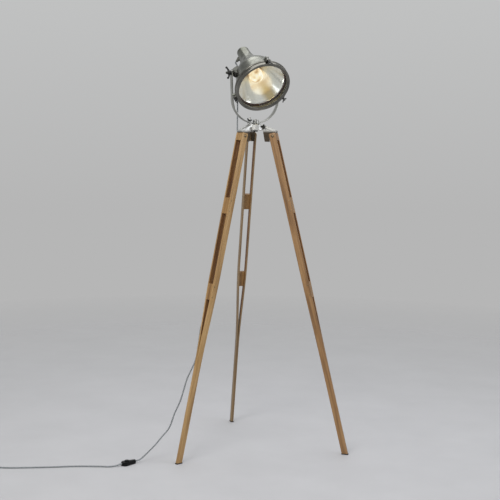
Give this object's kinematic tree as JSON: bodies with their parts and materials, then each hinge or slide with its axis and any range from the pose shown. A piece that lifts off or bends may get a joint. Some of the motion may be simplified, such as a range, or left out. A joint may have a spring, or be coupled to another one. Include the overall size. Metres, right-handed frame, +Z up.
{
  "type": "tripod spotlight floor lamp",
  "caption": "Floor lamp with a tilting metal spotlight head in a swivelling yoke on a folding tripod of bowed wooden laths, with a foot switch in its cord",
  "frame": {"origin": "centre of the base of the box round the lamp without its cord, on the floor", "axes": "+Z up, the spread legs point to +Y, lower left and lower right, and the lamp faces -Y"},
  "size_m": [1.5856, 0.6446, 1.7044],
  "materials": {
    "ash_wood": "waxed, satin",
    "spacer_wood": "waxed, satin",
    "foot_rubber": "matte",
    "dark_hardware": "black, semi-matte",
    "crown_metal": "cast, satin",
    "yoke_metal": "brushed",
    "head_metal": "brushed, lightly aged",
    "bezel_metal": "brushed, darkened",
    "reflector": "soft satin",
    "porcelain": "glazed ceramic white",
    "bulb_glass": "frosted, warm",
    "front_glass": "clear",
    "black_rubber": "matte",
    "black_plastic": "matte",
    "braided_cord": "black and white braid",
    "plug_brass": "plain"
  },
  "bodies": {
    "crown": {"crown_casting": "crown_metal", "centre_bolt": "dark_hardware", "swivel_washer": "foot_rubber", "centre_nut": "dark_hardware", "cord_drop": "braided_cord", "switch_housing": "black_plastic", "cord_floor": "braided_cord", "cord_coil": "braided_cord", "cord_tie": "black_rubber", "plug_body": "black_plastic", "plug_pins": "plug_brass"},
    "left_leg": {"left_lath_a": "ash_wood", "left_lath_b": "ash_wood", "left_hinge_block": "ash_wood", "left_spacer_upper": "spacer_wood", "left_spacer_lower": "spacer_wood", "left_foot_pad": "foot_rubber", "left_hinge_bolt": "dark_hardware", "cord_leg": "braided_cord"},
    "right_leg": {"right_lath_a": "ash_wood", "right_lath_b": "ash_wood", "right_hinge_block": "ash_wood", "right_spacer_upper": "spacer_wood", "right_spacer_lower": "spacer_wood", "right_foot_pad": "foot_rubber", "right_hinge_bolt": "dark_hardware"},
    "back_leg": {"back_lath_a": "ash_wood", "back_lath_b": "ash_wood", "back_hinge_block": "ash_wood", "back_spacer_upper": "spacer_wood", "back_spacer_lower": "spacer_wood", "back_foot_pad": "foot_rubber", "back_hinge_bolt": "dark_hardware"},
    "hub_screw": {"hub_screw": "dark_hardware"},
    "yoke": {"yoke_bar": "yoke_metal", "lock_bolt": "dark_hardware", "cord_yoke": "braided_cord"},
    "lock_nut": {"lock_nut": "dark_hardware"},
    "head": {"head_shell": "head_metal", "neck_cap": "head_metal", "trunnion_left": "dark_hardware", "trunnion_right": "dark_hardware", "reflector": "reflector", "lamp_holder": "porcelain", "bulb": "bulb_glass", "front_glass": "front_glass", "glass_gasket": "black_rubber", "bezel_ring": "bezel_metal", "cord_gland": "black_plastic", "cord_head": "braided_cord"},
    "tilt_nut_left": {"tilt_nut_left": "dark_hardware"},
    "tilt_nut_right": {"tilt_nut_right": "dark_hardware"},
    "latch_top": {"latch_bolt_top": "yoke_metal"},
    "latch_left": {"latch_bolt_left": "yoke_metal"},
    "latch_right": {"latch_bolt_right": "yoke_metal"},
    "latch_nut_top": {"latch_nut_top": "dark_hardware"},
    "latch_nut_left": {"latch_nut_left": "dark_hardware"},
    "latch_nut_right": {"latch_nut_right": "dark_hardware"},
    "switch_button": {"switch_button": "black_plastic"}
  },
  "joints": [
    {"name": "left_leg_fold", "type": "hinge", "parent": "crown", "child": "left_leg", "pos_m": [-0.06798, -0.1422, 1.33], "axis": [0.5, -0.866, 0], "range_deg": [0, 16]},
    {"name": "right_leg_fold", "type": "hinge", "parent": "crown", "child": "right_leg", "pos_m": [0.06798, -0.1422, 1.33], "axis": [0.5, 0.866, 0], "range_deg": [0, 16]},
    {"name": "back_leg_fold", "type": "hinge", "parent": "crown", "child": "back_leg", "pos_m": [0, -0.02445, 1.33], "axis": [-1, 0, 0], "range_deg": [0, 16]},
    {"name": "swivel", "type": "hinge", "parent": "crown", "child": "yoke", "pos_m": [0, -0.10295, 1.3801], "axis": [0, 0, 1], "range_deg": [-90, 90]},
    {"name": "tilt", "type": "hinge", "parent": "yoke", "child": "head", "pos_m": [-0.00918, -0.1044, 1.593], "axis": [0.9867, 0.1563, 0.0436], "range_deg": [-126, 4]},
    {"name": "tilt_nut_left_turn", "type": "hinge", "parent": "head", "child": "tilt_nut_left", "pos_m": [-0.11969, -0.1219, 1.58811], "axis": [-0.9867, -0.1563, -0.0436], "range_deg": [-180, 180]},
    {"name": "tilt_nut_right_turn", "type": "hinge", "parent": "head", "child": "tilt_nut_right", "pos_m": [0.10134, -0.0869, 1.59788], "axis": [0.9867, 0.1563, 0.0436], "range_deg": [-180, 180]},
    {"name": "lock_nut_turn", "type": "hinge", "parent": "yoke", "child": "lock_nut", "pos_m": [-0.02881, -0.10751, 1.39334], "axis": [-0.2556, -0.0405, -0.9659], "range_deg": [-180, 180]},
    {"name": "hub_screw_turn", "type": "hinge", "parent": "crown", "child": "hub_screw", "pos_m": [0.02, -0.13759, 1.368], "axis": [0.5, -0.866, 0], "range_deg": [-180, 180]},
    {"name": "latch_top_swing", "type": "hinge", "parent": "head", "child": "latch_top", "pos_m": [0.00954, -0.23771, 1.6472], "axis": [-0.9867, -0.1563, -0.0436], "range_deg": [0, 95]},
    {"name": "latch_nut_top_turn", "type": "hinge", "parent": "latch_top", "child": "latch_nut_top", "pos_m": [0.01379, -0.25994, 1.63077], "axis": [0.1519, -0.795, -0.5872], "range_deg": [-180, 180]},
    {"name": "latch_left_swing", "type": "hinge", "parent": "head", "child": "latch_left", "pos_m": [-0.1061, -0.14622, 1.49343], "axis": [0.4439, 0.5857, -0.6782], "range_deg": [0, 95]},
    {"name": "latch_nut_left_turn", "type": "hinge", "parent": "latch_left", "child": "latch_nut_left", "pos_m": [-0.10185, -0.16846, 1.477], "axis": [0.1519, -0.795, -0.5872], "range_deg": [-180, 180]},
    {"name": "latch_right_swing", "type": "hinge", "parent": "head", "child": "latch_right", "pos_m": [0.10412, -0.11293, 1.50272], "axis": [0.5428, -0.4294, 0.7218], "range_deg": [0, 95]},
    {"name": "latch_nut_right_turn", "type": "hinge", "parent": "latch_right", "child": "latch_nut_right", "pos_m": [0.10836, -0.13516, 1.4863], "axis": [0.1519, -0.795, -0.5872], "range_deg": [-180, 180]},
    {"name": "switch_press", "type": "slide", "parent": "crown", "child": "switch_button", "axis": [0, 0, -1], "range_m": [0, 0.0025], "stiffness_N_per_m": 300, "springref_m": -0.001}
  ]
}
